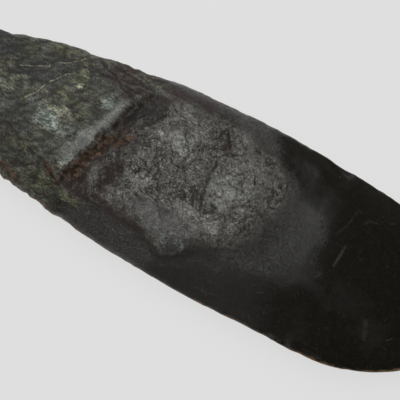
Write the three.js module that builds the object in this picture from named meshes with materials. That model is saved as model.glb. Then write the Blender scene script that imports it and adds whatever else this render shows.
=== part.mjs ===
import * as THREE from 'three';

// A ground stone spade: one long leaf of dark greenstone, in millimetres. It lies on its underside with
// its length along X, the rounded cutting edge at +X, the narrow poll at -X and the worked face up.
// The poll end keeps its rough natural skin, the middle is pecked, and the blade is ground smooth.

// Driving sizes of the stone. Its length is that of its three parts.
const POLL_LENGTH = 109;       // the rough natural end, as far as the break
const MIDDLE_LENGTH = 99;      // the pecked middle
const BLADE_LENGTH = 122;      // the ground blade
const LENGTH = POLL_LENGTH + MIDDLE_LENGTH + BLADE_LENGTH;
const WIDTH = 105;
const THICKNESS = 26;
const POLL_ROUND = 33;         // length of the poll's round end
const NOSE_ROUND = 72.6;       // length of the blade's round end
const BREAK_DEPTH = 2.5;       // depth of the hollow behind the break
const LIP_HEIGHT = 0.4;        // how far the lip before the break stands up
const PECK_DEPTH = 1.3;        // how far the ground blade lies below the pecked middle
const RIM_BLUNTNESS = 1.3;     // height of the worn flat along the rim
const RIM_LIFT = 1.5;          // how far the rim rises from the middle to the cutting edge
const FOOT_CUT = 0.8;          // how much of the underside's belly is worn flat, so that it rests still
const CARVING_DEPTH = 1;       // 1 is the depth of the scars on the real stone

// How finely the surface is divided: rings along the stone, and steps across each face of a ring.
const POLL_RINGS = 7;
const BODY_RINGS = 56;
const NOSE_RINGS = 13;
const RING_CROWDING = 0.5;     // 0 spaces the body's rings evenly, more crowds them at the break
const UPPER_STEPS = 30;
const LOWER_STEPS = 20;
const EDGE_CROWDING = 0.55;    // 0 spaces the steps evenly across, 1 crowds them towards the rim
const LAST_RING = 0.98;        // the last ring before a tip, as a share of the round end's quarter turn

// Share of the thickness above the rim.
const UPPER_SHARE = 0.53;

// The free form keeps its proportions as shares. A place along is a share of the length, from -0.5 at the
// poll to 0.5 at the cutting edge. A place across is a share of half the width, from -1 to 1.
const POLL_TIP = -0.5;
const BREAK_PLACE = -0.17;
const BLADE_PLACE = 0.13;
const NOSE_TIP = 0.5;
const LEFT_EDGE = [
  [-0.5, 0.4], [-0.403, 0.572], [-0.364, 0.62], [-0.303, 0.745], [-0.242, 0.812], [-0.152, 0.888],
  [-0.091, 0.95], [0, 0.983], [0.076, 1], [0.182, 0.978], [0.303, 0.928], [0.5, 0.91],
];
const RIGHT_EDGE = [
  [-0.5, 0.44], [-0.403, 0.63], [-0.333, 0.735], [-0.273, 0.812], [-0.212, 0.872], [-0.136, 0.93],
  [-0.061, 0.967], [0, 0.986], [0.091, 1], [0.182, 0.985], [0.288, 0.985], [0.5, 0.93],
];
const UPPER_CROWN = [
  [-0.5, 0.5], [-0.36, 0.76], [-0.21, 0.95], [-0.06, 1], [0.09, 0.96], [0.2, 0.8], [0.34, 0.47],
  [0.44, 0.2], [0.5, 0.02],
];
const LOWER_CROWN = [
  [-0.5, 0.5], [-0.36, 0.75], [-0.21, 0.94], [-0.02, 1], [0.12, 0.93], [0.24, 0.7], [0.36, 0.42],
  [0.45, 0.17], [0.5, 0.02],
];
// How square the section is: the higher, the flatter the face and the steeper its sides.
const UPPER_SQUARENESS = [[-0.5, 2.4], [-0.25, 3], [-0.05, 4.2], [0.1, 3.6], [0.3, 2.3], [0.5, 2]];
const LOWER_SQUARENESS = [[-0.5, 2.4], [-0.25, 2.8], [0, 3], [0.3, 2.2], [0.5, 2]];
// How round the rim is: 1 is a sharp lens, 2 is a full round.
const RIM_ROUNDNESS = [[-0.5, 1.8], [-0.25, 1.5], [0, 1.25], [0.25, 1.05], [0.5, 1]];

// Nicks in the outline, each with its place along, its half length and its depth across.
const LEFT_NICKS = [
  [-0.392, 0.022, 0.02], [-0.247, 0.024, 0.022], [-0.165, 0.022, 0.012], [0.205, 0.02, 0.015],
];
const RIGHT_NICKS = [
  [-0.33, 0.022, 0.018], [-0.22, 0.022, 0.02], [-0.158, 0.02, 0.014], [0.286, 0.022, 0.009],
];

// The break that ends the natural skin: its place along at each place across.
const BREAK_LINE = [
  [-0.7, -0.206], [-0.52, -0.198], [-0.36, -0.188], [-0.2, -0.181], [0.1, -0.165], [0.3, -0.157],
  [0.52, -0.143], [0.75, -0.118],
];
// Where the pecked middle ends and the ground blade begins.
const PECK_LINE = [
  [-0.75, 0.02], [-0.5, 0.07], [-0.35, 0.105], [-0.2, 0.121], [0, 0.13], [0.35, 0.139], [0.6, 0.13],
  [0.85, 0.1],
];

// Flake scars: place along, place across, half length and half width as shares of the length, turn in
// degrees, and depth as a share of the thickness.
const UPPER_SCARS = [
  [-0.27, -0.8, 0.135, 0.056, -13, 0.1],
  [-0.085, -0.97, 0.125, 0.062, -4, 0.11],
  [0.15, -0.86, 0.13, 0.062, 9, 0.07],
  [0.1, -0.92, 0.042, 0.018, 4, 0.04],
  [-0.185, 0.77, 0.078, 0.022, -5, 0.04],
  [0.012, 0.64, 0.02, 0.03, 0, 0.04],
  [0.065, 0.9, 0.045, 0.022, -3, 0.03],
  [-0.38, 0.46, 0.068, 0.042, 18, 0.05],
  [-0.43, -0.2, 0.05, 0.058, 0, 0.055],
  [-0.33, -0.05, 0.05, 0.03, 30, 0.02],
  [0.26, 0.88, 0.1, 0.04, -7, 0.04],
];
const LOWER_SCARS = [
  [-0.33, 0.72, 0.12, 0.06, -14, 0.08],
  [-0.12, 0.94, 0.1, 0.05, -4, 0.07],
  [-0.24, -0.82, 0.13, 0.055, 12, 0.085],
  [0.03, -0.95, 0.1, 0.045, 2, 0.06],
  [-0.4, -0.2, 0.06, 0.05, 15, 0.05],
  [0.17, 0.93, 0.09, 0.04, -4, 0.05],
];

const { clamp, degToRad, lerp, smoothstep } = THREE.MathUtils;

// A smooth curve through pairs of [place, value].
function through(pairs, place) {
  const last = pairs.length - 1;
  const at = clamp(place, pairs[0][0], pairs[last][0]);
  const above = pairs.findIndex(([where], k) => k > 0 && at <= where);
  const slope = (k) => {
    const before = pairs[Math.max(k - 1, 0)];
    const after = pairs[Math.min(k + 1, last)];
    return (after[1] - before[1]) / (after[0] - before[0]);
  };
  const [start, from] = pairs[above - 1];
  const [end, to] = pairs[above];
  const run = end - start;
  const t = (at - start) / run;
  const ease = t * t * (3 - 2 * t);
  const leave = t * (1 - t) ** 2;
  const arrive = t * t * (t - 1);
  return lerp(from, to, ease) + run * (slope(above - 1) * leave + slope(above) * arrive);
}

// The place along that a distance from the poll's tip stands for. Each part of the stone stretches alone.
function alongAt(x) {
  const [start, length, from, to] = x < POLL_LENGTH ? [0, POLL_LENGTH, POLL_TIP, BREAK_PLACE]
    : x < POLL_LENGTH + MIDDLE_LENGTH ? [POLL_LENGTH, MIDDLE_LENGTH, BREAK_PLACE, BLADE_PLACE]
      : [POLL_LENGTH + MIDDLE_LENGTH, BLADE_LENGTH, BLADE_PLACE, NOSE_TIP];
  return lerp(from, to, (x - start) / length);
}

// A quarter round: 1 where the round end begins and 0 at its tip.
function quarterRound(share) {
  return Math.sqrt(1 - clamp(share, 0, 1) ** 2);
}

function pollRound(x) {
  return quarterRound(1 - x / POLL_ROUND);
}

function noseRound(x) {
  return quarterRound(1 - (LENGTH - x) / NOSE_ROUND);
}

// Distance of one long edge from the axis, as a share of half the width.
function edgeAt(edge, nicks, x) {
  const along = alongAt(x);
  const cuts = nicks.map(([place, halfLength, depth]) => (
    depth * Math.max(0, 1 - ((along - place) / halfLength) ** 2)
  ));
  return (through(edge, along) - Math.max(...cuts)) * pollRound(x) * noseRound(x);
}

// Depth of a flake scar at a place, in millimetres: a shallow bowl with a sharp brim.
function scarDepth([scarAlong, scarAcross, halfLength, halfWidth, turn, depth], along, across) {
  const dx = (along - scarAlong) * LENGTH;
  const dy = (across - scarAcross) * WIDTH / 2;
  const angle = degToRad(turn);
  const p = (dx * Math.cos(angle) + dy * Math.sin(angle)) / (halfLength * LENGTH);
  const q = (dy * Math.cos(angle) - dx * Math.sin(angle)) / (halfWidth * LENGTH);
  return depth * THICKNESS * Math.max(0, 1 - p * p - q * q);
}

function deepestScar(scars, along, across) {
  return Math.max(...scars.map((scar) => scarDepth(scar, along, across)));
}

// Depth of the hollow behind the break: a raised lip, a steep wall, and a floor that climbs to the middle.
function breakDepth(along, across) {
  const past = along - through(BREAK_LINE, across);
  const wall = smoothstep(past, -0.003, 0.012);
  const runOut = 1 - smoothstep(past, 0.012, 0.08);
  const lip = smoothstep(past, -0.04, -0.012) * (1 - smoothstep(past, -0.012, 0.004));
  const ends = smoothstep(across, -0.72, -0.5) * (1 - smoothstep(across, 0.6, 0.84));
  return (BREAK_DEPTH * wall * runOut - LIP_HEIGHT * lip) * ends;
}

// Depth of the step from the pecked middle down to the ground blade.
function peckDepth(along, across) {
  const past = along - through(PECK_LINE, across);
  return PECK_DEPTH * smoothstep(past, -0.04, 0.006) * (1 - smoothstep(past, 0.015, 0.1));
}

function upperCarving(along, across) {
  return deepestScar(UPPER_SCARS, along, across) + breakDepth(along, across) + peckDepth(along, across);
}

function lowerCarving(along, across) {
  return deepestScar(LOWER_SCARS, along, across);
}

const UPPER_FACE = {
  tallest: THICKNESS * UPPER_SHARE - RIM_BLUNTNESS / 2,
  crown: UPPER_CROWN,
  squareness: UPPER_SQUARENESS,
  carving: upperCarving,
};
const LOWER_FACE = {
  tallest: THICKNESS * (1 - UPPER_SHARE) - RIM_BLUNTNESS / 2 + FOOT_CUT,
  crown: LOWER_CROWN,
  squareness: LOWER_SQUARENESS,
  carving: lowerCarving,
};

// Distance of a face from the rim, where side runs from 1 at the left edge to -1 at the right one. The
// carving fades out towards the rim, so that no scar leaves a knife edge there.
function faceRise(face, x, side, across) {
  const along = alongAt(x);
  const section = 1 - Math.abs(side) ** through(face.squareness, along);
  const rise = face.tallest * through(face.crown, along) * pollRound(x)
    * section ** (1 / through(RIM_ROUNDNESS, along));
  const carving = CARVING_DEPTH * face.carving(along, across);
  const fade = rise * rise / (rise * rise + 4 * carving * carving + Number.EPSILON);
  return rise - carving * fade;
}

// The places across a face, from 1 to -1.
function sides(steps) {
  return Array.from({ length: steps + 1 }, (_, k) => (
    lerp(1 - 2 * k / steps, Math.cos(Math.PI * k / steps), EDGE_CROWDING)
  ));
}

// One ring round the stone: the upper face from the left edge to the right one, then the underside back.
function ringPoints(x) {
  const left = edgeAt(LEFT_EDGE, LEFT_NICKS, x);
  const right = edgeAt(RIGHT_EDGE, RIGHT_NICKS, x);
  const rimHeight = THICKNESS * (1 - UPPER_SHARE) + RIM_LIFT * smoothstep(alongAt(x), 0, NOSE_TIP);
  const halfRim = RIM_BLUNTNESS / 2 * pollRound(x);
  const pointAt = (face, side, direction) => {
    const across = (left - right) / 2 + side * (left + right) / 2;
    const height = rimHeight + direction * (halfRim + faceRise(face, x, side, across));
    return new THREE.Vector3(x, across * WIDTH / 2, Math.max(0, height));
  };
  const over = sides(UPPER_STEPS).map((side) => pointAt(UPPER_FACE, side, 1));
  const under = sides(LOWER_STEPS).map((side) => pointAt(LOWER_FACE, -side, -1));
  return [...over, ...under];
}

// The distances of the rings from the poll's tip: closer and closer at the round ends, and crowded at the
// break in between.
function ringPlaces() {
  const quarterTurn = LAST_RING * Math.PI / 2;
  const fullTurn = 2 * Math.PI;
  const bodyLength = LENGTH - POLL_ROUND - NOSE_ROUND;
  const breakShare = (POLL_LENGTH - POLL_ROUND) / bodyLength;
  const wave = (share) => RING_CROWDING * Math.sin(fullTurn * (share - breakShare)) / fullTurn;
  const crowded = (share) => share - wave(share) + wave(0);
  const poll = Array.from({ length: POLL_RINGS }, (_, k) => (
    POLL_ROUND * (1 - Math.sin(quarterTurn * (1 - k / POLL_RINGS)))
  ));
  const body = Array.from({ length: BODY_RINGS }, (_, k) => (
    POLL_ROUND + bodyLength * crowded(k / BODY_RINGS)
  ));
  const nose = Array.from({ length: NOSE_RINGS + 1 }, (_, k) => (
    LENGTH - NOSE_ROUND * (1 - Math.sin(quarterTurn * k / NOSE_RINGS))
  ));
  return [...poll, ...body, ...nose];
}

// The tip of the stone beyond an end ring, level with the middle of that ring.
function tipBeyond(ring, x) {
  return new THREE.Box3().setFromPoints(ring).getCenter(new THREE.Vector3()).setX(x);
}

// The skin of the stone: rings joined by triangles, closed by a fan at each tip.
function stoneGeometry() {
  const rings = ringPlaces().map(ringPoints);
  const around = rings[0].length;
  const pollTip = rings.length * around;
  const noseTip = pollTip + 1;
  const lastRing = (rings.length - 1) * around;
  const index = [];
  for (let k = 0; k < around; k += 1) {
    const next = (k + 1) % around;
    index.push(pollTip, next, k);
    for (let start = 0; start < lastRing; start += around) {
      const beyond = start + around;
      index.push(start + k, start + next, beyond + k);
      index.push(start + next, beyond + next, beyond + k);
    }
    index.push(noseTip, lastRing + k, lastRing + next);
  }
  const points = [...rings.flat(), tipBeyond(rings[0], 0), tipBeyond(rings.at(-1), LENGTH)];
  const geometry = new THREE.BufferGeometry().setFromPoints(points);
  geometry.setIndex(index);
  geometry.computeVertexNormals();
  return geometry;
}

function stoneSpade() {
  const greenstone = new THREE.MeshStandardMaterial({ color: 0x3b3c37, roughness: 0.5, metalness: 0 });
  const spade = new THREE.Mesh(stoneGeometry(), greenstone);
  spade.name = 'stone_spade';
  // The origin is under the middle of the stone, on the surface that it rests on.
  spade.geometry.computeBoundingBox();
  const middle = spade.geometry.boundingBox.getCenter(new THREE.Vector3());
  spade.position.set(-middle.x, -middle.y, 0);
  return spade;
}

const group = new THREE.Group();
group.add(stoneSpade());

export default group;
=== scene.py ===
import itertools
import math

import bpy
import numpy as np
from mathutils import Matrix, Vector


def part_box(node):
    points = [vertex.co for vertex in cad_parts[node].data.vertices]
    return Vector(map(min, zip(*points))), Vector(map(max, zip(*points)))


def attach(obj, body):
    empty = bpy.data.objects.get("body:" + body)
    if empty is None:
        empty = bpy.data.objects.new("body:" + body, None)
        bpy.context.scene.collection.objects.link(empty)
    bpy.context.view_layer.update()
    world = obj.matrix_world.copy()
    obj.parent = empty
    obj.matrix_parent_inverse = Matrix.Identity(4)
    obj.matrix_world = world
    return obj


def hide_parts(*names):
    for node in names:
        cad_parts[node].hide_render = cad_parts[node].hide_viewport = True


# A ground stone spade lying on its underside. Its length runs along X with the cutting edge at +X. The
# stone and its marks are worked out in millimetres and turned to metres where a mesh or the camera is made.
# The lamps are given in metres.

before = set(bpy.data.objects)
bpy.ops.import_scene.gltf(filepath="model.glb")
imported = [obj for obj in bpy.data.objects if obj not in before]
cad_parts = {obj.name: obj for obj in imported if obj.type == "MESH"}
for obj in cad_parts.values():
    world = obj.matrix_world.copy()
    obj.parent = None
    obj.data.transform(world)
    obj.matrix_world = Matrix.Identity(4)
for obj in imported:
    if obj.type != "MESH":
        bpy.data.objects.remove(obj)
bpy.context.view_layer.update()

METRE = 1000.0
STONE = "stone_spade"
LOW, HIGH = (np.array(corner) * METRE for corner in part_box(STONE))
LENGTH, _, THICKNESS = HIGH - LOW

# The camera leans back from straight overhead, so what stands above the rim looks shifted across.
CAMERA_LEAN = math.radians(10)
RIM_HEIGHT = 0.485 * THICKNESS


# Smooth steps, curves and noise that the relief and the finishes share

def step(values, start, end):
    """0 before start and 1 after end, with a smooth rise between."""
    share = np.clip((values - start) / (end - start), 0, 1)
    return share * share * (3 - 2 * share)


def bump(values, middle, reach):
    """1 at the middle, falling smoothly to 0 within reach on either side."""
    return 1 - step(np.abs(values - middle), 0, reach)


def curve_at(places, pairs):
    """The value at each place of a curve through (place, value) pairs."""
    where, value = np.array(pairs, float).T
    return np.interp(places, where, value)


# Noise is drawn in cells turned away from the axes, so that no row of cells shows.
SKEW = np.array(Matrix.Rotation(0.7, 3, Vector((0.48, 0.6, 0.64))))
CELL_MULTIPLIERS = (73856093, 19349663, 83492791)
SEED_MULTIPLIER = 26544357


def cell_value(cells, seed):
    """A fixed number from -1 to 1 for every whole-numbered cell."""
    mixed = seed * SEED_MULTIPLIER
    for axis, multiplier in enumerate(CELL_MULTIPLIERS):
        mixed = mixed ^ (cells[:, axis] * multiplier)
    mixed = ((mixed ^ (mixed >> 15)) * 2246822519) & 0xFFFFFFFF
    mixed = ((mixed ^ (mixed >> 13)) * 3266489917) & 0xFFFFFFFF
    return ((mixed ^ (mixed >> 16)) & 0xFFFFFF) / 0x7FFFFF - 1


def noise(points, size, seed):
    """Smooth values from -1 to 1 that change over about size millimetres."""
    places = points @ SKEW / size
    cells = np.floor(places).astype(np.int64)
    share = places - cells
    share = share * share * (3 - 2 * share)
    total = np.zeros(len(points))
    for corner in itertools.product((0, 1), repeat=3):
        weight = np.prod(np.where(corner, share, 1 - share), axis=1)
        total += weight * cell_value(cells + np.array(corner), seed)
    return total


def cloud(points, size, seed, octaves=4):
    """Noise with finer and finer noise on it."""
    return sum(noise(points, size / 2 ** k, seed + k) * 0.55 ** k for k in range(octaves))


def creases(points, size, seed, thinness=0.12):
    """1 along thin wandering lines about size millimetres apart, 0 between them."""
    return np.exp(-(noise(points, size, seed) / thinness) ** 2)


def pits(points, spacing, seed):
    """Round pits with centres scattered about spacing apart: 1 at the bottom of a pit, 0 at its brim."""
    places = points[:, :2] / spacing
    cells = np.floor(places).astype(np.int64)
    nearest = np.full(len(points), 9.0)
    for shift in itertools.product((-1, 0, 1), repeat=2):
        cell = np.column_stack([cells + np.array(shift), np.zeros(len(points), np.int64)])
        scatter = np.column_stack([cell_value(cell, seed), cell_value(cell, seed + 1)])
        centre = cell[:, :2] + 0.5 + 0.45 * scatter
        nearest = np.minimum(nearest, np.linalg.norm(places - centre, axis=1))
    return np.clip(1 - (nearest / 0.55) ** 2, 0, 1)


def beside(places, line):
    """Each place's signed distance from a bent line, positive left of it, and share of the way along."""
    line = np.array(line, float)
    lengths = np.linalg.norm(np.diff(line, axis=0), axis=1)
    passed = np.concatenate([[0], np.cumsum(lengths)])
    distance = np.full(len(places), np.inf)
    along = np.zeros(len(places))
    side = np.ones(len(places))
    for start, end, length, before in zip(line[:-1], line[1:], lengths, passed):
        run = (end - start) / length
        offset = places - start
        forward = np.clip(offset @ run, 0, length)
        gap = np.linalg.norm(offset - forward[:, None] * run, axis=1)
        nearer = gap < distance
        distance = np.where(nearer, gap, distance)
        along = np.where(nearer, (before + forward) / passed[-1], along)
        turned = run[0] * offset[:, 1] - run[1] * offset[:, 0]
        side = np.where(nearer, np.where(turned < 0, -1, 1), side)
    return distance * side, along


# The solid's rings, divided finely. The spacings are in millimetres.

STEPS_OVER = 31        # points of a ring on the upper face, from the left rim to the right one
ALONG_MIDDLE = 0.64    # from ring to ring in the pecked middle
ALONG_ENDS = 1.2
ACROSS_TOP = 0.74
ACROSS_UNDER = 3.0
ACROSS_RIM = 0.45
MIDDLE_REACH = (-74, 54)


def ring_in_order(ring):
    """A ring's points from the left rim over the top to the right rim, and back underneath."""
    by_height = ring[np.argsort(-ring[:, 2])]
    over, under = by_height[:STEPS_OVER], by_height[STEPS_OVER:]
    return np.concatenate([over[np.argsort(-over[:, 1])], under[np.argsort(under[:, 1])]])


def solid_rings(node):
    """The rings of the CAD solid from the poll to the cutting edge, and its two tips."""
    corners = np.zeros(len(node.data.vertices) * 3, np.float32)
    node.data.vertices.foreach_get("co", corners)
    points = np.unique(np.round(corners.reshape(-1, 3).astype(float) * METRE, 3), axis=0)
    places, starts, counts = np.unique(points[:, 0], return_index=True, return_counts=True)
    around = counts.max()
    rings = [ring_in_order(points[k:k + around]) for k, count in zip(starts, counts) if count == around]
    return np.array(rings), points[[0, -1]]


def divided(knots, spacings):
    """Fractional places from each knot to the next, spaced no wider than that gap's spacing."""
    gaps = np.linalg.norm(np.diff(knots, axis=0), axis=1)
    counts = np.ceil(gaps / spacings).astype(int)
    return np.concatenate([k + np.arange(count) / count for k, count in enumerate(counts)])


def catmull_rom(count, places, closed=False):
    """Weights that turn count values into a smooth curve through them, read at fractional places."""
    start = np.floor(places).astype(int)
    if not closed:
        start = np.minimum(start, count - 2)
    t = places - start
    weights = np.zeros((len(places), count))
    shares = (
        (-t + 2 * t ** 2 - t ** 3) / 2,
        (2 - 5 * t ** 2 + 3 * t ** 3) / 2,
        (t + 4 * t ** 2 - 3 * t ** 3) / 2,
        (t ** 3 - t ** 2) / 2,
    )
    for offset, share in zip((-1, 0, 1, 2), shares):
        index = (start + offset) % count if closed else np.clip(start + offset, 0, count - 1)
        np.add.at(weights, (np.arange(len(places)), index), share)
    return weights


def fine_grid(rings):
    """The rings divided finely, a row of points for each fine ring, and each point's gap to the rim."""
    rim = rings[:, 0]
    in_middle = (rim[:-1, 0] > MIDDLE_REACH[0]) & (rim[:-1, 0] < MIDDLE_REACH[1])
    along = divided(rim, np.where(in_middle, ALONG_MIDDLE, ALONG_ENDS))
    along = np.append(along, len(rings) - 1)
    widest = rings[np.argmax(rim[:, 1])]
    spacings = np.full(len(widest), ACROSS_UNDER)
    spacings[:STEPS_OVER - 1] = ACROSS_TOP
    spacings[[STEPS_OVER - 1, -1]] = ACROSS_RIM
    around = divided(np.vstack([widest, widest[:1]]), spacings)
    rows = np.tensordot(catmull_rom(len(rings), along), rings, 1)
    grid = np.einsum("ka,rac->rkc", catmull_rom(rings.shape[1], around, closed=True), rows)
    rim_places = np.array([STEPS_OVER - 0.5, len(widest) - 0.5])
    both_rims = np.einsum("ka,rac->rkc", catmull_rom(rings.shape[1], rim_places, closed=True), rows)
    gaps = np.linalg.norm(grid[:, :, None] - both_rims[:, None], axis=3)
    return grid, gaps.min(axis=2)


def grid_normals(grid):
    """Outward normals of a grid whose rows are closed rings."""
    along = np.gradient(grid, axis=0)
    around = np.roll(grid, -1, axis=1) - np.roll(grid, 1, axis=1)
    normals = np.cross(around, along)
    return normals / np.maximum(np.linalg.norm(normals, axis=2, keepdims=True), 1e-9)


# The places of the marks on the worked face, in millimetres as the photo's viewpoint sees them

BREAK = [(-50, -62), (-36, -64), (-27, -65), (-18, -62), (-10, -60), (-3, -57), (5, -54), (12, -52),
         (22, -50), (27, -47), (30, -45), (38, -42), (46, -38), (52, -36)]
BLADE_START = [(-50, -6), (-38, 0), (-28, 10), (-22, 20), (-17, 33), (-10, 40), (0, 42), (10, 45), (20, 46),
               (30, 44), (38, 34), (45, 26), (52, 20)]
LOWER_RIDGE = [(-90, -31), (-60, -29), (-45, -30), (-30, -30), (-20, -31), (-10, -33), (-3, -36), (2, -38),
               (12, -34), (24, -27), (40, -24), (60, -24)]
UPPER_BEVEL = [(-70, 40), (-40, 41), (0, 41), (12, 40), (25, 38), (45, 34), (70, 33), (110, 30)]

SKIN_GROOVE = [(-112, -11), (-100, -15), (-90, -20), (-80, -22), (-70, -27), (-63, -31)]
RUSTY_GROOVE = [(-84, -21), (-77, -24), (-70, -27.5), (-63, -31)]
UPPER_GROOVES = (
    [(-71, 41), (-62, 40), (-52, 39.5), (-40, 38)],
    [(-76, 33), (-65, 34), (-55, 33.5), (-45, 33)],
    [(-79, 40), (-68, 37), (-57, 31.5), (-46, 28)],
)
GROOVES = (
    # line, width, depth
    (SKIN_GROOVE, 3.6, 0.2),
    (RUSTY_GROOVE, 2.4, 0.4),
    *((line, 1.7, 0.5) for line in UPPER_GROOVES),
)
CRACKS = (
    # line, width, depth
    ([(5, 22), (5.5, 15), (5.5, 8), (7, 0), (8.5, -5)], 1.2, 0.7),
    ([(2, 41), (1, 36), (-1, 31), (-3, 28)], 1.2, 0.5),
    ([(2, 41), (5, 35), (8, 30), (11, 27)], 1.2, 0.5),
    ([(0, 40), (2, 45), (6, 50)], 0.8, 0.3),
    ([(-24, -8), (-20, -13), (-13, -15), (-8, -20), (-3, -25)], 0.9, 0.35),
    ([(-24, -8), (-25, -2), (-23, 4), (-17, 6)], 0.9, 0.3),
    ([(-14, 22), (-10, 17), (-11, 11), (-6, 7)], 0.9, 0.3),
    ([(14, 14), (20, 12), (27, 13)], 0.9, 0.25),
    ([(-30, 36), (-24, 33), (-18, 34), (-12, 31)], 0.9, 0.3),
    ([(45.5, 29), (46, 20), (44, 13)], 0.8, 0.3),
)
VEINS = (
    [(-114, 16.5), (-105, 20.5), (-98, 24)],
    [(-97, 26.5), (-90, 31), (-84, 37.5)],
    [(-103, 1), (-98, 8), (-96, 14)],
    [(-95.5, 15), (-92, 19), (-89, 24), (-86, 25.5)],
)
VEIN_WIDTH = 0.45
SCRATCHES = (
    # line, width, strength
    ([(88, 13), (87.6, 6), (87, -1)], 1.3, 1.0),
    ([(83.4, -6), (81, -11)], 1.0, 0.7),
    ([(116, -17), (118, -22), (120, -29)], 2.0, 0.45),
    ([(131, -23), (134, -20)], 0.9, 0.7),
    ([(91, 27), (94, 31), (99, 32)], 1.0, 0.5),
    ([(80, 15), (84, 24), (86, 35)], 1.2, 0.3),
    ([(104, 35), (108, 37)], 0.9, 0.5),
    ([(66, 12), (67, 9)], 0.8, 0.6),
    ([(60, -31), (57, -33)], 0.8, 0.6),
)
# Small scars with a sharp brim: middle, half length, half width, turn in degrees, depth.
SMALL_SCARS = (
    ((32, -42.5), 11, 3.0, 4, 0.22),
    ((15, -32), 8, 3.6, 24, 0.28),
    ((29, -29), 6.5, 3.4, -8, 0.18),
    ((20, 43.5), 11, 3.2, -12, 0.3),
    ((4, 32), 8, 4.5, 80, 0.6),
    ((-84, -33), 13, 5, -16, 0.4),
    ((-108, -26), 10, 5, -18, 0.4),
    ((95, -47.5), 9, 2.4, 2, 0.15),
    ((66, 47), 8, 2.2, -6, 0.12),
    ((-128, 12), 9, 6, 20, 0.4),
    ((-97, 34), 9, 4, 22, 0.3),
)
# Patches of another colour on the natural skin and in the hollows: x, y, half length, half width, turn in
# degrees, strength.
PATCHES = {
    # Partly lighter stone, partly painted highlight where the skin faces the key light
    "pale_and_highlit": (
        (-81, 3, 8, 6, 10, 1.0), (-79, 21, 3, 2.5, 0, 1.0), (-68, -20, 7, 4, -30, 0.6),
        (-112, 6, 11, 5, 25, 0.6), (-88, -3, 7, 6, 0, 0.5), (-72, 12, 6, 9, 0, 0.4),
        (-105, -4, 8, 3, -20, 0.4), (-92, 8, 5, 4, 0, 0.4), (-79, 29, 5, 3, 0, 0.5),
        (-76, -8, 8, 6, 0, 0.35), (-98, 14, 6, 3, 40, 0.3),
    ),
    # Partly lighter stone, partly painted highlight where the skin faces the key light
    "teal_and_highlit": (
        (-87, -3, 8, 6, 20, 1.0), (-60, 22, 7, 4, 60, 0.7), (-65, -16, 5, 5, 0, 0.7),
        (-95, 3, 6, 5, 0, 0.5), (-75, -3, 8, 6, 0, 0.5), (-113, -10, 9, 5, 0, 0.4),
        (-30, 43, 7, 3, 0, 0.4), (-2, -28, 20, 5, -6, 0.35),
    ),
    "olive": (
        (-81, 27, 8, 5, 10, 1.0), (-85, 14, 8, 5, 20, 1.0), (-57, -36, 9, 4, 0, 0.9),
        (-74, -32, 12, 5, -15, 0.7), (-98, 33, 9, 4, 20, 0.6), (-122, 2, 9, 7, 0, 0.7),
        (-114, 28, 9, 4, 20, 0.6), (-90, -20, 8, 4, -20, 0.6), (-45, 9, 3, 3, 0, 0.5),
    ),
    "ochre": (
        (-126, 24, 14, 3, 22, 0.3), (-88, -38, 14, 3, -12, 1.0), (-70, -40, 6, 2.5, -10, 0.6),
        (-64, -27, 3.5, 3, 0, 1.0), (-104, -33, 9, 3, -20, 0.5), (-95, 39, 7, 2, 10, 0.4),
        (-50, -33, 8, 2, 0, 0.4), (-110, 8, 5, 2, 20, 0.5),
    ),
    "rust": (
        (-72, -27, 11, 2.4, -34, 1.0), (-60, 38, 9, 1.6, -5, 0.4), (-46, 5, 10, 3.6, 50, 0.9),
    ),
    # Partly paler worn stone, partly painted sheen: lighter patches where the dome catches the key light
    "silver_and_sheen": (
        (-20, 36, 12, 5, -15, 0.6), (-15, 20, 12, 9, 0, 1.0), (15, 10, 8, 12, 10, 1.0),
        (-26, -8, 6, 8, 0, 0.8), (-8, -21, 15, 6, -10, 0.35), (24, 24, 8, 5, 0, 0.3),
        (16, 38, 5, 3, -20, 0.6), (-28, 28, 6, 8, 0, 0.5), (20, -12, 12, 6, 20, 0.8),
        (2, -12, 10, 6, 0, 0.8), (28, 12, 6, 10, 0, 0.8),
    ),
    "plum": (
        (-42, -10, 7, 14, -10, 1.0), (-38, 4, 4, 8, 0, 0.7), (-50, -29, 14, 3.5, 0, 1.0),
        (-24, -31, 20, 2.5, -4, 0.8), (-59, 38, 26, 9, -6, 1.0), (-52, 12, 4, 11, -20, 1.0),
        (-22, 45, 24, 4, 0, 0.9), (-46, 45, 12, 4, -3, 1.0), (29, -29, 8, 4, -10, 0.8),
        (7, 30, 7, 6, 0, 1.0), (38, -2, 5, 16, -10, 0.65), (-5, -37, 12, 2.5, -20, 0.7),
        (-58, -22, 4, 5, 0, 1.0), (34, 14, 5, 12, 0, 0.35), (22, 38, 6, 3, 0, 0.7),
        (66, 12, 5, 6, 0, 0.4), (100, -14, 16, 9, 0, 0.4), (125, -25, 14, 9, 0, 0.6),
        (32, -42, 9, 2.5, 4, 0.6), (-36, 26, 5, 7, 0, 0.5), (3, 12, 2, 12, 0, 0.5),
        (-6, -16, 10, 2.5, 10, 0.5), (16, -18, 3, 3, 0, 0.6), (-90, 41, 14, 2, 8, 0.5),
        (62, 18, 10, 3, 60, 0.5),
    ),
    # Partly darker stone, partly painted shade where the skin and hollows face away from the key light
    "slate_and_shaded": (
        (-104, 17, 18, 10, 25, 1.0), (-130, 21, 16, 10, 30, 1.0), (-103, -13, 16, 8, -15, 0.8),
        (-38, 26, 8, 12, -15, 0.8), (-75, 36, 6, 3, 0, 0.6), (-66, 12, 3, 10, 20, 0.5),
        (-96, 28, 13, 6, 15, 0.9), (-93, -28, 20, 6, -14, 0.6), (-46, 26, 4, 9, -20, 0.5),
        (-66, -34, 5, 3, 0, 0.5), (5, 32, 4, 8, 10, 0.3),
    ),
}


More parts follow.
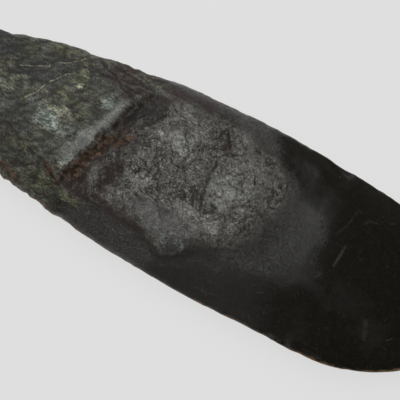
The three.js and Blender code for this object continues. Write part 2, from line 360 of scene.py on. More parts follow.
def ellipse_reach(seen, middle, half_length, half_width, turn):
    """0 at the middle of a turned ellipse and 1 on its outline."""
    offset = seen - np.array(middle)
    angle = math.radians(turn)
    forward = offset @ np.array([math.cos(angle), math.sin(angle)]) / half_length
    sideways = offset @ np.array([-math.sin(angle), math.cos(angle)]) / half_width
    return np.hypot(forward, sideways)


def patch_strength(points, seen, patches, seed):
    """How strongly any of the patches shows at each point, with ragged outlines."""
    ragged = 0.55 * cloud(points, 5, seed, 4)
    strongest = np.zeros(len(points))
    for x, y, half_length, half_width, turn, strength in patches:
        reach = ellipse_reach(seen, (x, y), half_length, half_width, turn)
        strongest = np.maximum(strongest, strength * (1 - step(reach + ragged, 0.35, 1.25)))
    return strongest


def line_marks(seen, marks, reach):
    """For thin painted lines: the distance from the nearest one and how strongly it shows there."""
    nearest = np.full(len(seen), float(reach))
    strength = np.zeros(len(seen))
    for line, width, shows in marks:
        offset, along = beside(seen, line)
        offset = offset / width
        nearer = np.abs(offset) < np.abs(nearest)
        nearest = np.where(nearer, offset, nearest)
        ends = step(along, 0, 0.08) * (1 - step(along, 0.92, 1))
        within = 1 - step(np.abs(offset), 0.6 * reach, 0.9 * reach)
        strength = np.where(nearer, shows * ends * within, strength)
    return nearest, strength


def surface_zones(points, seen, upward):
    """How much of each kind of surface every point has, 0 to 1, and how far past the borders it lies."""
    x, y = seen.T
    ragged = cloud(points, 8, 11, 4)
    broad = cloud(points, 22, 17, 3)
    wide = cloud(points, 40, 61, 2)
    past_break = x - curve_at(y, BREAK) + 2.8 * ragged
    past_blade = x - curve_at(y, BLADE_START) + 3 * broad
    past_dish = past_blade + 0.8 * np.minimum(y, 0)
    over_ridge = y - curve_at(x, LOWER_RIDGE) + 1.5 * ragged
    below_bevel = curve_at(x, UPPER_BEVEL) - y + 3 * ragged
    under_x = points[:, 0] + 16 * wide
    skin = upward * (1 - step(past_break + 2 * broad, -5, 5)) + (1 - upward) * (1 - step(under_x, -90, -60))
    blade = upward * step(past_blade, -3, 12) + (1 - upward) * step(under_x, 15, 60)
    framed = step(over_ridge, -3, 6) * step(below_bevel, -4, 8)
    smooth_foot = ellipse_reach(seen + 4 * ragged[:, None], (-2, -24), 24, 8, -8)
    pecked_top = step(past_break, 5, 14) * (1 - step(past_blade, -5, 8)) * (0.2 + 0.8 * framed)
    off_foot = 0.2 + 0.8 * step(smooth_foot, 0.7, 1.3)
    pecked_under = step(under_x, -90, -60) * (1 - step(under_x, 0, 30))
    in_reach = step(y, -34, -26) * (1 - step(y, 26, 40))
    steep = in_reach * (1 - 0.5 * step(y, 5, 20))
    filled = step(y, -32, -22) * (1 - step(y, 2, 14))
    return {
        "skin": skin,
        "blade": blade,
        "pecked": upward * off_foot * pecked_top + 0.8 * (1 - upward) * pecked_under,
        "rough_middle": upward * off_foot * step(past_break, 4, 10) * (1 - step(past_blade, -5, 12)),
        "recess": upward * step(past_break, -2, 3) * (1 - step(past_break + 5 * broad, 8, 18)) * in_reach,
        "lip": upward * bump(past_break + 3 * broad, -4.8, 6) * step(y, -24, -12) * (1 - step(y, 22, 30)),
        "wall": upward * step(past_break, -4, -1.5) * (1 - step(past_break, 0.5, 3)) * steep,
        "fill": upward * step(past_break, -3, 0) * (1 - step(past_break, 4, 9)) * filled,
        "dish": upward * step(past_blade, -4, 4) * (1 - step(past_dish, 0, 42)) * (1 - step(y, 0, 32)),
        "upward": upward,
        "past_break": past_break,
        "past_blade": past_blade,
        "over_ridge": over_ridge,
        "below_bevel": below_bevel,
    }


# Relief, in millimetres out of the surface

def along_the_skin(points):
    """The points turned and squeezed, so that noise on them is drawn out like the skin's streaks."""
    length = (points[:, 0] + points[:, 1]) * math.sqrt(0.5)
    across = (points[:, 1] - points[:, 0]) * math.sqrt(0.5)
    return np.column_stack([0.4 * length, across, points[:, 2]])


def skin_relief(points, seen, zones):
    """The rough natural skin: a broad swell, low knobs and fine grit, drawn out in streaks."""
    swell = 0.55 * np.clip(1 - ellipse_reach(seen, (-96, 12), 19, 30, 0) ** 2, 0, 1) ** 2 * zones["upward"]
    streaks = along_the_skin(points)
    knobs = 0.3 * cloud(streaks, 6, 31, 4)
    grit = 0.12 * cloud(streaks, 1.6, 41, 2) - 0.14 * creases(streaks, 2.6, 45, 0.2)
    folds = -0.3 * creases(streaks, 8, 47, 0.1)
    return zones["skin"] * (1 - 0.7 * zones["lip"]) * (knobs + grit + folds) + swell


def pecked_relief(points, seen, zones):
    """The hammered middle: low swells, covered with short wandering furrows and shallow pits."""
    bent = points + 1.1 * np.column_stack([noise(points, 2.2, seed) for seed in (52, 53, 54)])
    furrows = -0.07 * creases(bent, 1.7, 55, 0.26) - 0.05 * pits(seen, 1.9, 57)
    swells = 0.13 * cloud(points, 10, 59, 3) + 0.05 * cloud(points, 2.4, 60, 2)
    wandering = -0.2 * creases(bent, 8, 63, 0.06) * step(noise(points, 12, 67), -0.3, 0.2)
    waved = (0.3 + 0.7 * zones["pecked"]) * zones["upward"]
    return zones["pecked"] * (furrows + wandering) + waved * swells


def splinters(points, turn, size, seed):
    """Short uneven ridges that run beside each other, turned this many degrees from the stone's length."""
    angle = math.radians(turn)
    length = points[:, 0] * math.cos(angle) + points[:, 1] * math.sin(angle)
    across = points[:, 1] * math.cos(angle) - points[:, 0] * math.sin(angle)
    drawn_out = np.column_stack([0.3 * length, across, points[:, 2]])
    return cloud(drawn_out, size, seed, 4) - 0.7 * creases(drawn_out, 1.6 * size, seed + 5, 0.14)


def break_relief(points, seen, zones):
    """The edge of the natural skin, broken off in a ragged step, with crumbly filling at its foot."""
    past = zones["past_break"]
    y = seen[:, 1]
    ends = zones["upward"] * step(y, -38, -28) * (1 - step(y, 26, 36))
    drop = 0.7 - 0.4 * step(y, 0, 14)
    foot = 2.4 + 2 * step(y, 4, 18)
    wall = -drop * step(past, -0.6, foot) * (1 - step(past, 5, 18))
    ridges = 0.36 * splinters(points, 62, 2.6, 75) * zones["recess"]
    crumbly = np.maximum(zones["fill"], 0.7 * zones["wall"])
    crumbs = crumbly * (0.6 * cloud(points, 5, 71, 5) - 0.25 * creases(points, 3, 73, 0.16))
    return ends * wall + ridges + crumbs


def ridge_relief(seen, zones):
    """The ridges between the large flake scars: one low on the face, one along the upper bevel."""
    x = seen[:, 0]
    over = zones["over_ridge"]
    low = zones["upward"] * step(x, -66, -58) * (1 - step(x, 10, 24))
    groove = -0.35 * bump(over, -3, 5) + 0.1 * bump(over, 1.5, 4)
    high = zones["upward"] * step(x, -74, -60) * (1 - step(x, 26, 50))
    arris = 0.28 * bump(zones["below_bevel"], 0.5, 4)
    return low * groove + high * arris


def hackle_relief(points, zones):
    """Uneven ribs beside each other where the pecked middle breaks off to the blade."""
    past = zones["past_blade"]
    inside = step(zones["over_ridge"], 0, 6) * step(zones["below_bevel"], 2, 8)
    band = zones["upward"] * step(past, -20, -11) * (1 - step(past, -3, 3)) * inside
    edge = 0.06 * bump(past, 0, 3) * step(noise(points, 14, 84), -0.2, 0.4)
    above_foot = step(points[:, 1], -24, -12)
    ribs = 0.17 * splinters(points, 60, 2.0, 81) - 0.06 * pits(points, 1.8, 83)
    return band * above_foot * ribs + zones["upward"] * edge * inside


def scar_relief(seen, zones):
    """Small flake scars: shallow bowls with a sharp brim."""
    depth = np.zeros(len(seen))
    for middle, half_length, half_width, turn, deep in SMALL_SCARS:
        reach = ellipse_reach(seen, middle, half_length, half_width, turn)
        depth = np.maximum(depth, deep * np.clip(1 - reach ** 2, 0, 1))
    return -depth * zones["upward"]


def crack_relief(points, seen, zones):
    """Cracks, and the grooves on the natural skin and beside the upper edge."""
    wavering = seen + 0.7 * np.column_stack([noise(points, 4, 91), noise(points, 4, 92)])
    total = np.zeros(len(seen))
    for line, width, depth in (*CRACKS, *GROOVES):
        offset, along = beside(wavering, line)
        ends = step(along, 0, 0.15) * (1 - step(along, 0.8, 1))
        total = np.minimum(total, -depth * ends * np.exp(-(offset / (width / 2)) ** 2))
    below_groove, _ = beside(seen, SKIN_GROOVE)
    x = seen[:, 0]
    terrace = -0.5 * step(-below_groove, -0.5, 1.5) * (1 - step(-below_groove, 8, 20))
    return zones["upward"] * (total + terrace * step(x, -125, -105) * (1 - step(x, -68, -60)))


CHIP_COUNT = 90
CHIP_SEED = 5


def edge_chips(points, rim_gap):
    """Small chips along the rim, deepest on the natural end."""
    chance = np.random.default_rng(CHIP_SEED)
    depth = np.zeros(len(points))
    for _ in range(CHIP_COUNT):
        x = chance.uniform(-LENGTH / 2 + 8, LENGTH / 2 - 30)
        side = chance.choice([-1, 1])
        rough_end = 1 if x < -55 else 0.45
        radius = chance.uniform(1.8, 4.2)
        near = (np.sign(points[:, 1]) == side) * np.clip(
            1 - ((points[:, 0] - x) / radius) ** 2 - (rim_gap / (0.8 * radius)) ** 2, 0, 1)
        depth = np.maximum(depth, rough_end * chance.uniform(0.25, 0.6) * near)
    return -depth


def blade_relief(points, zones):
    """The ground blade: barely waved, with fine striations that run along it."""
    striations = 0.012 * noise(points * np.array([0.06, 1, 1]), 0.9, 101)
    waves = 0.10 * cloud(points, 26, 103, 2)
    return zones["blade"] * (striations + waves)


def rim_relief(points, rim_gap, zones):
    """The outline's waver: ragged along the natural skin, slight along the blade."""
    waver = (0.5 * zones["skin"] + 0.12) * cloud(points, 7, 111, 4)
    return waver * (1 - step(rim_gap, 0, 5))


# The stone's fine surface

FOOT_LIFT = 1.2        # the relief fades out over this height above the flat spot that the stone rests on


def softened(values, passes):
    """A grid of values with each one averaged with its neighbours, as many times as passes says."""
    for _ in range(passes):
        values = (np.roll(values, 1, axis=1) + 2 * values + np.roll(values, -1, axis=1)) / 4
        framed = np.concatenate([values[:1], values, values[-1:]])
        values = (framed[:-2] + 2 * framed[1:-1] + framed[2:]) / 4
    return values


def stone_relief(points, seen, rim_gap, zones):
    """All the relief together, in millimetres out of the solid's surface."""
    layers = (
        skin_relief(points, seen, zones),
        pecked_relief(points, seen, zones),
        break_relief(points, seen, zones),
        ridge_relief(seen, zones),
        hackle_relief(points, zones),
        scar_relief(seen, zones),
        crack_relief(points, seen, zones),
        edge_chips(points, rim_gap),
        blade_relief(points, zones),
        rim_relief(points, rim_gap, zones),
    )
    return sum(layers)


def stone_marks(points, seen, rim_gap, zones):
    """What the material needs to know of each point, from 0 to 1 but for the distances from thin lines."""
    marks = {name: zones[name] for name in ("skin", "blade", "pecked", "recess", "lip", "dish")}
    for number, (name, patches) in enumerate(PATCHES.items()):
        marks[name] = patch_strength(points, seen, patches, 200 + 10 * number) * zones["upward"]
        marks[name] = marks[name] * (1 - 0.6 * zones["blade"])
    marks["rust"] = np.maximum(marks["rust"], zones["fill"])
    # Dark plum on the break's wall and in the lower hollow behind it: partly the brown stain there, partly
    # painted shade cast by the wall
    low_recess_stain_and_shade = zones["recess"] * step(seen[:, 1] - 8 * noise(points, 12, 97), 20, 8)
    marks["plum"] = np.maximum.reduce([marks["plum"], 0.85 * low_recess_stain_and_shade, zones["wall"]])
    # Painted rim light: a light brown band along the rim, strongest on the -Y side, stands in for light
    # from the table catching the lower edge.
    lower_side = 0.25 + 0.75 * step(-points[:, 1], 0, 20)
    in_stretches = 0.6 + 0.4 * step(cloud(points, 24, 99, 3), -0.3, 0.25)
    marks["rim"] = (1 - step(rim_gap + 0.6 * cloud(points, 4, 98, 2), 0.5, 1.7)) * lower_side * in_stretches
    unrubbed = 1 - zones["lip"]
    furrowed = np.maximum.reduce([
        zones["pecked"] * (1 - 0.75 * marks["silver_and_sheen"]),
        0.85 * zones["rough_middle"] * (1 - marks["silver_and_sheen"]),
        0.8 * zones["dish"],
        0.25 * zones["skin"] * unrubbed,
        zones["recess"],
        zones["wall"],
    ])
    marks["furrowed"] = furrowed * (1 - 0.7 * marks["rust"])
    marks["crackled"] = np.maximum(zones["pecked"], 0.8 * zones["skin"] * unrubbed)
    unpecked = zones["rough_middle"] * (1 - zones["pecked"])
    marks["broken"] = np.maximum.reduce([unpecked, zones["recess"], 0.8 * marks["plum"]])
    wavering = seen + 0.5 * np.column_stack([noise(points, 3, 94), noise(points, 3, 95)])
    veins = [(line, VEIN_WIDTH, 1.0) for line in VEINS]
    marks["vein_offset"], marks["vein"] = line_marks(wavering, veins, 4)
    marks["scratch_offset"], marks["scratch"] = line_marks(seen, SCRATCHES, 3)
    for name in ("vein", "scratch"):
        marks[name] = marks[name] * zones["upward"]
    return marks


def grid_faces(rows, columns):
    """Four-sided faces between the rows, and three-sided ones from the end rows to the two tips."""
    first_tip = rows * columns
    last_row = (rows - 1) * columns
    faces = []
    for column in range(columns):
        beyond = (column + 1) % columns
        faces.append((first_tip, beyond, column))
        faces.append((first_tip + 1, last_row + column, last_row + beyond))
        faces += [
            (start + column, start + beyond, start + columns + beyond, start + columns + column)
            for start in range(0, last_row, columns)
        ]
    return faces


def stone_piece():
    """The whole stone as one mesh on the solid's form, and the names of the marks on it."""
    rings, tips = solid_rings(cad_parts[STONE])
    grid, rim_gap = fine_grid(rings)
    rows, columns = rim_gap.shape
    normals = grid_normals(grid).reshape(-1, 3)
    points = grid.reshape(-1, 3)
    rim_gap = rim_gap.ravel()
    shifted = math.tan(CAMERA_LEAN) * (points[:, 2] - RIM_HEIGHT)
    seen = np.column_stack([points[:, 0], points[:, 1] + shifted])
    zones = surface_zones(points, seen, step(normals[:, 2], -0.1, 0.25))
    relief = stone_relief(points, seen, rim_gap, zones)
    relief = relief * np.where(normals[:, 2] < -0.5, step(points[:, 2], 0, FOOT_LIFT), 1)
    marks = stone_marks(points, seen, rim_gap, zones)
    above = relief - softened(relief.reshape(rows, columns), 10).ravel()
    marks["hollow"] = step(-above, 0, 0.16)
    # Painted highlight: the crests of the fine relief, made lighter in the colour where they would catch
    # the light
    marks["worn"] = step(above, 0.01, 0.12)

    points = points + normals * relief[:, None]
    points[:, 2] = np.maximum(points[:, 2], 0)
    mesh = bpy.data.meshes.new("greenstone_spade")
    mesh.from_pydata(np.vstack([points, tips]) / METRE, [], grid_faces(rows, columns))
    mesh.shade_smooth()
    for name, values in marks.items():
        ends = values[[0, -1]]
        mesh.attributes.new(name, "FLOAT", "POINT").data.foreach_set("value", np.append(values, ends))
    piece = bpy.data.objects.new("greenstone_spade", mesh)
    bpy.context.scene.collection.objects.link(piece)
    return piece, list(marks)


# Materials

def linear(colour):
    """The linear colour, with alpha, of an sRGB hex colour such as #5c6156."""
    shares = [int(colour[k:k + 2], 16) / 255 for k in (1, 3, 5)]
    return [s / 12.92 if s <= 0.04045 else ((s + 0.055) / 1.055) ** 2.4 for s in shares] + [1.0]


def fineness(size):
    """The scale of a noise texture whose features are size millimetres across."""
    return METRE / size


def node_adder(tree):
    """Empties a node tree and gives the function that adds a node to it with its settings and links."""
    tree.nodes.clear()

    def add(kind, inputs, **settings):
        node = tree.nodes.new("ShaderNode" + kind)
        for setting, value in settings.items():
            setattr(node, setting, value)
        for socket, value in inputs.items():
            if isinstance(value, bpy.types.NodeSocket):
                tree.links.new(value, node.inputs[socket])
            else:
                node.inputs[socket].default_value = value
        return node

    return add


def new_material(name):
    """An empty node material, and the function that adds nodes to it."""
    material = bpy.data.materials.new(name)
    material.use_nodes = True
    return material, node_adder(material.node_tree)


# Greenstone. A Mix node's sockets are 0 for the amount, 2 and 3 for values, and 6 and 7 for colours.

GREENSTONE_IOR = 1.6
STREAK_TURN = math.radians(-45)
STREAK_SQUEEZE = (0.28, 1, 1)
# The noises behind the stone's patterns: size of a feature in millimetres, detail, roughness, distortion,
# and whether it is drawn out in streaks. Mineral grains are about 0.5 mm across. They are drawn at 0.9 mm
# so that they show.
NOISES = {
    "grain": (0.9, 2.0, 0.6, 0.6, False),
    "streak": (1.5, 4.0, 0.65, 0.0, True),
    "mottle": (3.2, 5.0, 0.65, 0.0, False),
    "drift": (14, 4.0, 0.6, 0.0, False),
    "blotch": (6, 4.0, 0.7, 0.0, True),
    "wander": (1.8, 1.5, 0.6, 1.4, False),
    "crackle": (15, 6.0, 0.55, 0.8, False),
}
# Patterns made from them: the noise, the two values of it that count, and what those two turn into.
STRETCHES = {
    "streaks": ("streak", 0.37, 0.63, 0.0, 1.0),
    "mottling": ("mottle", 0.3, 0.7, 0.0, 1.0),
    "yellowing": ("drift", 0.35, 0.65, 0.0, 1.0),
    "furrow_density": ("drift", 0.38, 0.55, 0.35, 1.0),
    "blotching": ("blotch", 0.35, 0.65, -0.4, 0.35),
    "flecks": ("grain", 0.36, 0.64, -0.68, 0.82),
    "specks": ("grain", 0.67, 0.76, 0.0, 1.0),
}
# Half widths of the lines drawn where a noise crosses its middle value, in the noise's own units.
CONTOURS = {"wander": 0.07, "crackle": 0.028}

# Each finish's and each patch's dark and light colour. Streaks mix the two, or mottling where it is named.
FINISH_COLOURS = {
    "grey_skin": ("#272c26", "#5d6358", "streaks"),
    "yellowed_skin": ("#2c2c1c", "#6f7150", "streaks"),
    "flaked": ("#1a1714", "#37332d", "streaks"),
    # The hammered grey is partly paler pecked stone and partly painted sheen, lightened for the dome's
    # gloss
    "hammered": ("#46433d", "#84837a", "mottling"),
    "ground": ("#17150f", "#211f17", "mottling"),
}
PATCH_COLOURS = {
    "olive": ("#343622", "#8a8e5e"),
    # The next two are partly the stone's own tone and partly painted highlight
    "pale_and_highlit": ("#7c826d", "#dcdebe"),
    "teal_and_highlit": ("#76847c", "#ccd8cc"),
    # Partly paler worn stone, partly painted sheen
    "silver_and_sheen": ("#5c5c57", "#969690"),
    # Partly darker stone, partly painted shade
    "slate_and_shaded": ("#1b1d1c", "#373a37"),
    "ochre": ("#33281a", "#70593a"),
    "plum": ("#1c1311", "#47322b"),
    "rust": ("#20140e", "#765639"),
}
# Thin lines: their colour, and how far from the middle they fade out, as a share of the line's width.
LINE_COLOURS = {"vein": ("#b9b496", 1.0), "scratch": ("#4b443d", 0.9)}
FLECKS_ON_BLADE = 0.5

# Roughness: between that of a hammered face and of the weathered skin, then laid over it in this order.
HAMMERED_ROUGHNESS = 0.22
SKIN_ROUGHNESS = 0.42
MOTTLED_ROUGHNESS = 0.06
ROUGHNESS = {
    "blade": 0.23, "silver_and_sheen": 0.23, "dish": 0.5, "lip": 0.33, "plum": 0.58, "slate_and_shaded": 0.53, "recess": 0.63,
    "rust": 0.88, "furrow": 0.75, "crack": 0.7,
}
# Height of the grains in millimetres, laid over each other in the same way, and depth of the furrows.
SMOOTH_GRAIN = 0.05
GRAIN_HEIGHTS = {"furrowed": 0.32, "skin": 0.4, "broken": 0.6, "lip": 0.07, "blade": 0.012}
FURROW_DEPTH = 0.14


def stone_fields(add, mark_names):
    """Every mark on the mesh and every pattern in the stone, by name."""
    place = add("TexCoord", {}).outputs["Object"]
    turned = {"Vector": place, "Rotation": (0, 0, STREAK_TURN), "Scale": STREAK_SQUEEZE}
    drawn_out = add("Mapping", turned).outputs[0]
    fields = {name: add("Attribute", {}, attribute_name=name).outputs["Fac"] for name in mark_names}
    for name, (size, detail, roughness, distortion, streaky) in NOISES.items():
        drawn = {"Vector": drawn_out if streaky else place, "Scale": fineness(size), "Detail": detail}
        drawn.update({"Roughness": roughness, "Distortion": distortion})
        fields[name] = add("TexNoise", drawn).outputs["Fac"]
    for name, (source, low, high, start, end) in STRETCHES.items():
        span = {"Value": fields[source], "From Min": low, "From Max": high, "To Min": start, "To Max": end}
        fields[name] = add("MapRange", span).outputs[0]
    contours = {}
    for name, half_width in CONTOURS.items():
        beside_line = add("Math", {0: fields[name], 1: 0.5}, operation="SUBTRACT").outputs[0]
        beside_line = add("Math", {0: beside_line}, operation="ABSOLUTE").outputs[0]
        band = {"Value": beside_line, "From Min": 0.0, "From Max": half_width, "To Min": 1.0, "To Max": 0.0}
        contours[name] = add("MapRange", band, interpolation_type="SMOOTHSTEP").outputs[0]

    # Peck marks: a network of wandering furrows 0.5 mm wide, too fine for the mesh, full of dull dirt
    furrow = add("Math", {0: contours["wander"], 1: fields["furrowed"]}, operation="MULTIPLY").outputs[0]
    dense = {0: furrow, 1: fields["furrow_density"]}
    fields["furrow"] = add("Math", dense, operation="MULTIPLY").outputs[0]
    # Brown crackle in lines 8 mm apart that come and go
    cracks = {0: contours["crackle"], 1: fields["crackled"]}
    fields["crack"] = add("Math", cracks, operation="MULTIPLY").outputs[0]
    return fields


def covered(add, colour, covers):
    """The colour with covers laid over it in turn: where each lies, its share at most, and its colour."""
    for place, share, shade in covers:
        amount = add("Math", {0: place, 1: share}, operation="MULTIPLY").outputs[0]
        colour = add("Mix", {0: amount, 6: colour, 7: linear(shade)}, data_type="RGBA").outputs[2]
    return colour


def made_uneven(add, colour, pattern, strength):
    """The colour made lighter and darker by a pattern that swings about 0, as much as strength says."""
    factor = add("Math", {0: pattern, 1: strength, 2: 1.0}, operation="MULTIPLY_ADD").outputs[0]
    shade = add("CombineXYZ", {0: factor, 1: factor, 2: factor}).outputs[0]
    return add("Mix", {0: 1.0, 6: colour, 7: shade}, data_type="RGBA", blend_type="MULTIPLY").outputs[2]


def finishes(add, fields):
    """The natural skin, the hammered and flaked middle and the ground blade, each where it belongs."""
    finish = {}
    for name, (dark, light, pattern) in FINISH_COLOURS.items():
        tones = {0: fields[pattern], 6: linear(dark), 7: linear(light)}
        finish[name] = add("Mix", tones, data_type="RGBA").outputs[2]
    skin = {0: fields["yellowing"], 6: finish["grey_skin"], 7: finish["yellowed_skin"]}
    skin = add("Mix", skin, data_type="RGBA").outputs[2]
    middle = {0: fields["pecked"], 6: finish["flaked"], 7: finish["hammered"]}
    middle = add("Mix", middle, data_type="RGBA").outputs[2]
    colour = add("Mix", {0: fields["skin"], 6: middle, 7: skin}, data_type="RGBA").outputs[2]
    return add("Mix", {0: fields["blade"], 6: colour, 7: finish["ground"]}, data_type="RGBA").outputs[2]


def patched(add, colour, fields):
    """The colour with its patches, whose borders the mottling breaks up."""
    broken = add("Math", {0: fields["mottle"], 1: 1.6, 2: -0.8}, operation="MULTIPLY_ADD").outputs[0]
    for name, (dark, light) in PATCH_COLOURS.items():
        edged = add("Math", {0: fields[name], 1: broken}, operation="ADD").outputs[0]
        shows = {"Value": edged, "From Min": 0.15, "From Max": 0.7}
        shows = add("MapRange", shows, interpolation_type="SMOOTHSTEP").outputs[0]
        amount = add("Math", {0: shows, 1: fields[name]}, operation="MULTIPLY").outputs[0]
        tones = {0: fields["streaks"], 6: linear(dark), 7: linear(light)}
        tone = add("Mix", tones, data_type="RGBA").outputs[2]
        colour = add("Mix", {0: amount, 6: colour, 7: tone}, data_type="RGBA").outputs[2]
    return colour


def veined(add, colour, fields):
    """The colour with cream veins and light scratches, as crisp as the distance from their middle line."""
    for name, (shade, half_width) in LINE_COLOURS.items():
        distance = add("Math", {0: fields[name + "_offset"]}, operation="ABSOLUTE").outputs[0]
        band = {"Value": distance, "From Min": 0.25 * half_width, "From Max": half_width}
        band.update({"To Min": 1.0, "To Max": 0.0})
        shows = add("MapRange", band, interpolation_type="SMOOTHSTEP").outputs[0]
        amount = add("Math", {0: shows, 1: fields[name]}, operation="MULTIPLY").outputs[0]
        amount = add("Math", {0: amount, 1: fields["mottle"]}, operation="MULTIPLY").outputs[0]
        amount = add("Math", {0: amount, 1: 1.5}, operation="MULTIPLY", use_clamp=True).outputs[0]
        colour = add("Mix", {0: amount, 6: colour, 7: linear(shade)}, data_type="RGBA").outputs[2]
    return colour


def stone_colour(add, fields):
    """The finishes with patches, veins, dirt, painted highlights on the lip and crests and a painted rim
    light laid over them, from the bottom up.
    """
    crackle = (fields["crack"], 1.0, "#241812")
    dull_dirt = (fields["furrow"], 0.85, "#1c1713")
    # Painted highlight: the smooth lip of the break made lighter grey where it faces the key light
    painted_lip_highlight = (fields["lip"], 0.8, "#6b6d66")
    on_blade = {0: fields["specks"], 1: fields["blade"]}
    pale_grains = (add("Math", on_blade, operation="MULTIPLY").outputs[0], 1.0, "#46433c")
    dirty_hollows = (fields["hollow"], 0.8, "#261a15")
    # Painted highlight on the crests of the fine relief
    painted_crest_highlights = (fields["worn"], 0.35, "#74726b")
    # Painted rim light along the lower edge
    painted_rim_light = (fields["rim"], 1.0, "#84694f")

    colour = covered(add, finishes(add, fields), [crackle])
    colour = covered(add, patched(add, colour, fields), [dull_dirt, painted_lip_highlight])
    colour = veined(add, colour, fields)
    colour = covered(add, colour, [pale_grains, dirty_hollows, painted_crest_highlights, painted_rim_light])
    # The skin is blotched, and single grains speckle the whole stone, but the ground blade only faintly
    colour = made_uneven(add, colour, fields["blotching"], fields["skin"])
    speckled = add("Mix", {0: fields["blade"], 2: 1.0, 3: FLECKS_ON_BLADE}).outputs[0]
    return made_uneven(add, colour, fields["flecks"], speckled)


def stone_roughness(add, fields):
    """Smoothest where the stone is ground or rubbed, rough on the weathered skin, dull where dirt lies."""
    rough = {0: fields["skin"], 2: HAMMERED_ROUGHNESS, 3: SKIN_ROUGHNESS}
    rough = {0: fields["mottling"], 1: MOTTLED_ROUGHNESS, 2: add("Mix", rough).outputs[0]}
    rough = add("Math", rough, operation="MULTIPLY_ADD").outputs[0]
    for name, value in ROUGHNESS.items():
        rough = add("Mix", {0: fields[name], 2: rough, 3: value}).outputs[0]
    return rough


def stone_height(add, fields):
    """Grains and peck marks that are too fine for the mesh, as heights in millimetres."""
    coarse = SMOOTH_GRAIN
    for name, value in GRAIN_HEIGHTS.items():
        coarse = add("Mix", {0: fields[name], 2: coarse, 3: value}).outputs[0]
    height = add("Math", {0: fields["grain"], 1: coarse}, operation="MULTIPLY").outputs[0]
    furrows = {0: fields["furrow"], 1: -FURROW_DEPTH, 2: height}
    return add("Math", furrows, operation="MULTIPLY_ADD").outputs[0]


def greenstone(mark_names):
    """Greenstone, a fine dark metamorphosed basalt. The ground blade is nearly black with a dull polish.
    The hammered middle is paler grey stone, made lighter still in its colour as a painted silvery sheen.
    The natural skin at the poll has weathered to a rough grey-green with yellowish patches, cream veins
    and rust in the hollows."""
    material, add = new_material("greenstone_ground_pecked_and_weathered")
    fields = stone_fields(add, mark_names)
    relief = {"Strength": 1.0, "Distance": 1 / METRE, "Height": stone_height(add, fields)}
    stone_of = {
        "Base Color": stone_colour(add, fields),
        "Roughness": stone_roughness(add, fields),
        "Normal": add("Bump", relief).outputs[0],
        "IOR": GREENSTONE_IOR,
    }
    add("OutputMaterial", {"Surface": add("BsdfPrincipled", stone_of).outputs[0]})
    return material


TABLE_GLOW = 0.655


def lit_table():
    """A matt white studio table, lit from below so that it throws hardly any shadow."""
    material, add = new_material("matt_white_light_table")
    place = add("TexCoord", {}).outputs["Object"]
    cloudy = add("TexNoise", {"Vector": place, "Scale": 2.0}).outputs["Fac"]
    white = {0: cloudy, 6: linear("#707070"), 7: linear("#727272")}
    table_of = {
        "Base Color": add("Mix", white, data_type="RGBA").outputs[2],
        "Roughness": 0.9,
        "Emission Color": linear("#ffffff"),
        "Emission Strength": TABLE_GLOW,
    }
    add("OutputMaterial", {"Surface": add("BsdfPrincipled", table_of).outputs[0]})
    return material


# The stone

stone, mark_names = stone_piece()
stone.data.materials.append(greenstone(mark_names))
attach(stone, "root")
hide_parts(STONE)


# Table, light and camera

TABLE_SIDE = 6000
LENS = 135
FILM_WIDTH = 36
VIEW_WIDTH = 218.2                       # of the stone's length that the picture takes in, in millimetres
VIEW_TURN = math.radians(28)             # the stone's length runs this far below the picture's horizontal
VIEW_MIDDLE = Vector((6.8, -2.6, RIM_HEIGHT)) / METRE

# The room's light: what comes from all round, what the pale horizon adds, and how fast that fades upwards.
ROOM_GLOW = 0.03
HORIZON_GLOW = 0.28
HORIZON_FADE = 4


def studio_table():
    """A wide flat table top at the height that the stone lies on."""
    half = TABLE_SIDE / 2 / METRE
    corners = [(-half, -half, 0), (half, -half, 0), (half, half, 0), (-half, half, 0)]
    mesh = bpy.data.meshes.new("studio_table")
    mesh.from_pydata(corners, [], [(0, 1, 2, 3)])
    mesh.materials.append(lit_table())
    top = bpy.data.objects.new("studio_table", mesh)
    bpy.context.scene.collection.objects.link(top)
    return top


table = studio_table()


def aimed(name, data, target, back, right, distance):
    """A lamp or camera at a distance from its target, with its Z along back and its X along right."""
    thing = bpy.data.objects.new(name, data)
    turn = Matrix((right, back.cross(right), back)).transposed().to_4x4()
    thing.matrix_world = Matrix.Translation(target + back * distance) @ turn
    bpy.context.scene.collection.objects.link(thing)
    return thing


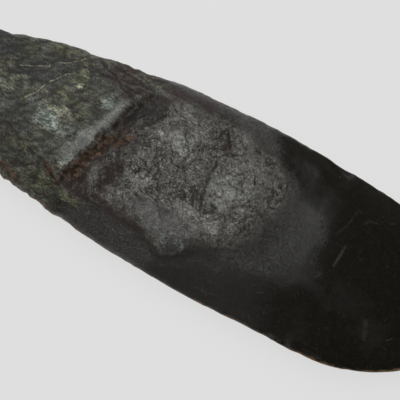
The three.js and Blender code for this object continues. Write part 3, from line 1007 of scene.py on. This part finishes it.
def softbox(name, size, radiance, tilt_x, tilt_y, distance):
    """A rectangular lamp that faces the stone, leaned towards +X and +Y by the two tilts in degrees."""
    lamp = bpy.data.lights.new(name, "AREA")
    lamp.shape = "RECTANGLE"
    lamp.size, lamp.size_y = size
    lamp.energy = radiance * math.pi * size[0] * size[1]
    back = Vector((math.tan(math.radians(tilt_x)), math.tan(math.radians(tilt_y)), 1)).normalized()
    right = Vector((1, 0, 0)) - back * back.x
    right.normalize()
    return aimed(name, lamp, Vector((0, 0, 0)), back, right, distance)


softbox("key_softbox", size=(0.38, 2.2), radiance=4.2, tilt_x=-8.5, tilt_y=20, distance=1.4)
softbox("side_softbox", size=(0.4, 0.8), radiance=0.6, tilt_x=-8, tilt_y=-44, distance=1.4)
softbox("fill_softbox", size=(1.2, 1.0), radiance=0.3, tilt_x=-55, tilt_y=-35, distance=1.5)


def studio_walls():
    """Even light from all round: a pale band at the horizon, and dark overhead."""
    world = bpy.data.worlds.new("studio")
    bpy.context.scene.world = world
    world.use_nodes = True
    add = node_adder(world.node_tree)
    direction = add("TexCoord", {}).outputs["Generated"]
    upwards = add("SeparateXYZ", {0: direction}).outputs["Z"]
    low = add("Math", {0: 1, 1: upwards}, operation="SUBTRACT", use_clamp=True).outputs[0]
    band = add("Math", {0: low, 1: HORIZON_FADE}, operation="POWER").outputs[0]
    glow = add("Math", {0: band, 1: HORIZON_GLOW, 2: ROOM_GLOW}, operation="MULTIPLY_ADD").outputs[0]
    sky = add("Background", {"Strength": glow}).outputs[0]
    add("OutputWorld", {0: sky})


def camera():
    """A long lens looking down on the stone, leaned back a little from straight overhead."""
    data = bpy.data.cameras.new("camera")
    data.lens = LENS
    data.sensor_width = FILM_WIDTH
    data.clip_start = 0.05
    data.clip_end = 20
    back = Vector((0, -math.sin(CAMERA_LEAN), math.cos(CAMERA_LEAN)))
    level_y = Vector((0, math.cos(CAMERA_LEAN), math.sin(CAMERA_LEAN)))
    right = math.cos(VIEW_TURN) * Vector((1, 0, 0)) + math.sin(VIEW_TURN) * level_y
    distance = VIEW_WIDTH / METRE * LENS / FILM_WIDTH
    return aimed("camera", data, VIEW_MIDDLE, back, right, distance)


studio_walls()
bpy.context.scene.camera = camera()
bpy.context.scene.view_settings.view_transform = "Standard"
